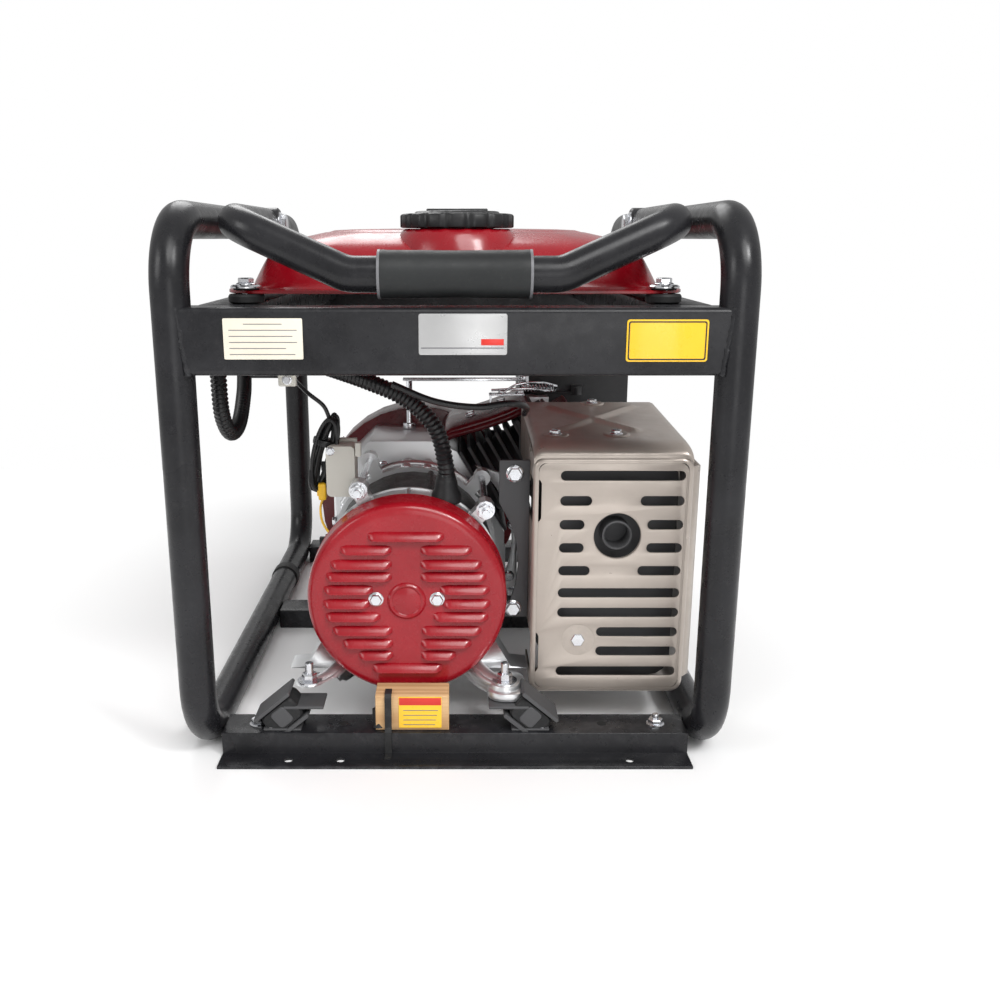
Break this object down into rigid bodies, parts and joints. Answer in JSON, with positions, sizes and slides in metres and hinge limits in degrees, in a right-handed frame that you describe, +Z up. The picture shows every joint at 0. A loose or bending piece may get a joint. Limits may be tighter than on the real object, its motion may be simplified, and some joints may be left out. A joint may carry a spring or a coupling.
{
  "type": "portable generator",
  "caption": "Open-frame portable generator with fuel tank, engine, alternator, shielded muffler, control box and a folding carrying handle.",
  "frame": {"origin": "centre of the base on the floor, midway between the two side hoops and between their ends", "axes": "+Z up, -Y towards the alternator end, which also carries the folding handle, +X towards the muffler side"},
  "size_m": [0.54, 0.7202, 0.54],
  "materials": {
    "frame_paint": "satin black powder coat",
    "red_paint": "gloss red enamel",
    "dark_red_paint": "dark red enamel",
    "shield_steel": "warm silver heat-resistant paint over pressed steel",
    "cast_alloy": "as-cast, shot blasted",
    "machined_steel": "turned",
    "zinc_steel": "bright zinc plate",
    "heat_black": "matt black heat-resistant coat",
    "rubber": "moulded, matt",
    "plastic": "moulded, fine grain",
    "grey_plastic": "moulded",
    "wood": "sawn softwood",
    "signal_plastic": "gloss"
  },
  "bodies": {
    "frame": {"hoop_left": "frame_paint", "hoop_right": "frame_paint", "beam_front": "frame_paint", "beam_rear": "frame_paint", "tank_rail_left": "frame_paint", "tank_rail_right": "frame_paint", "base_rail_front": "frame_paint", "base_rail_engine": "frame_paint", "base_rail_rear": "frame_paint", "control_box": "frame_paint", "fuel_tank": "red_paint", "alternator_cover": "red_paint", "fan_shroud": "dark_red_paint", "recoil_housing": "dark_red_paint", "muffler_front_shield": "shield_steel", "muffler_top_shield": "shield_steel", "alternator_rear_bell": "cast_alloy", "alternator_front_bell": "cast_alloy", "crankcase": "cast_alloy", "cylinder_head": "cast_alloy", "carburettor": "cast_alloy", "exhaust_pipe": "machined_steel", "valve_cover": "machined_steel", "tank_mount_front_left": "zinc_steel", "tank_mount_front_right": "zinc_steel", "tank_mount_rear_left": "zinc_steel", "tank_mount_rear_right": "zinc_steel", "stator": "heat_black", "cylinder": "heat_black", "muffler_body": "heat_black", "muffler_bracket": "heat_black", "isolator_front_left": "rubber", "isolator_front_right": "rubber", "isolator_rear_left": "rubber", "isolator_rear_right": "rubber", "spark_plug": "rubber", "conduit_main": "rubber", "conduit_loop": "rubber", "air_cleaner_case": "plastic", "air_cleaner_cover": "plastic", "control_panel": "plastic", "socket_duplex": "plastic", "socket_locking": "plastic", "regulator_cover": "grey_plastic", "transit_block": "wood"},
    "handle": {"handle_bar": "frame_paint", "handle_grip": "rubber"},
    "fuel_cap": {"fuel_cap": "plastic"},
    "shaft": {"rotor": "machined_steel", "crankshaft": "machined_steel", "flywheel_fan": "cast_alloy"},
    "recoil_grip": {"recoil_grip": "plastic"},
    "choke_lever": {"choke_lever": "plastic"},
    "fuel_valve_lever": {"fuel_valve_lever": "plastic"},
    "governor_arm": {"governor_arm": "zinc_steel"},
    "dipstick": {"dipstick": "plastic"},
    "flap_duplex": {"flap_duplex": "plastic"},
    "flap_locking": {"flap_locking": "plastic"},
    "breaker_toggle": {"breaker_toggle": "plastic"},
    "engine_switch": {"engine_switch_rocker": "signal_plastic"}
  },
  "joints": [
    {"name": "handle_fold", "type": "hinge", "parent": "frame", "child": "handle", "pos_m": [0, -0.14, 0.521], "axis": [-1, 0, 0], "range_deg": [0, 90]},
    {"name": "cap_turn", "type": "hinge", "parent": "frame", "child": "fuel_cap", "pos_m": [0.002, -0.225, 0.523], "axis": [0, 0, 1], "range_deg": [0, 90]},
    {"name": "shaft_spin", "type": "hinge", "parent": "frame", "child": "shaft", "pos_m": [-0.049, 0, 0.15], "axis": [0, 1, 0], "continuous": true},
    {"name": "starter_pull", "type": "slide", "parent": "frame", "child": "recoil_grip", "axis": [0.42, 0.86, 0.29], "range_m": [0, 0.5], "stiffness_N_per_m": 10, "springref_m": -0.3},
    {"name": "choke_swing", "type": "hinge", "parent": "frame", "child": "choke_lever", "pos_m": [0.11087, 0.1253, 0.2997], "axis": [0, 0, -1], "range_deg": [0, 35]},
    {"name": "fuel_valve_turn", "type": "hinge", "parent": "frame", "child": "fuel_valve_lever", "pos_m": [0.14887, 0.1143, 0.2337], "axis": [1, 0, 0], "range_deg": [0, 85]},
    {"name": "governor_swing", "type": "hinge", "parent": "frame", "child": "governor_arm", "pos_m": [-0.06, 0.06, 0.326], "axis": [0, 0, 1], "range_deg": [-4, 10]},
    {"name": "dipstick_turn", "type": "hinge", "parent": "frame", "child": "dipstick", "pos_m": [-0.162, 0.057, 0.1], "axis": [-1, 0, 0], "range_deg": [0, 340]},
    {"name": "duplex_flap_lift", "type": "hinge", "parent": "frame", "child": "flap_duplex", "pos_m": [-0.262, 0.04, 0.4255], "axis": [0, 1, 0], "range_deg": [0, 100], "stiffness_Nm_per_rad": 0.02, "springref_deg": -34.38},
    {"name": "locking_flap_lift", "type": "hinge", "parent": "frame", "child": "flap_locking", "pos_m": [-0.262, 0.11, 0.4255], "axis": [0, 1, 0], "range_deg": [0, 100], "stiffness_Nm_per_rad": 0.02, "springref_deg": -34.38},
    {"name": "breaker_flip", "type": "hinge", "parent": "frame", "child": "breaker_toggle", "pos_m": [-0.2543, 0.165, 0.3925], "axis": [0, 1, 0], "range_deg": [-22, 22]},
    {"name": "switch_rock", "type": "hinge", "parent": "frame", "child": "engine_switch", "pos_m": [-0.2553, 0.255, 0.3925], "axis": [0, 0, 1], "range_deg": [0, 14]}
  ]
}
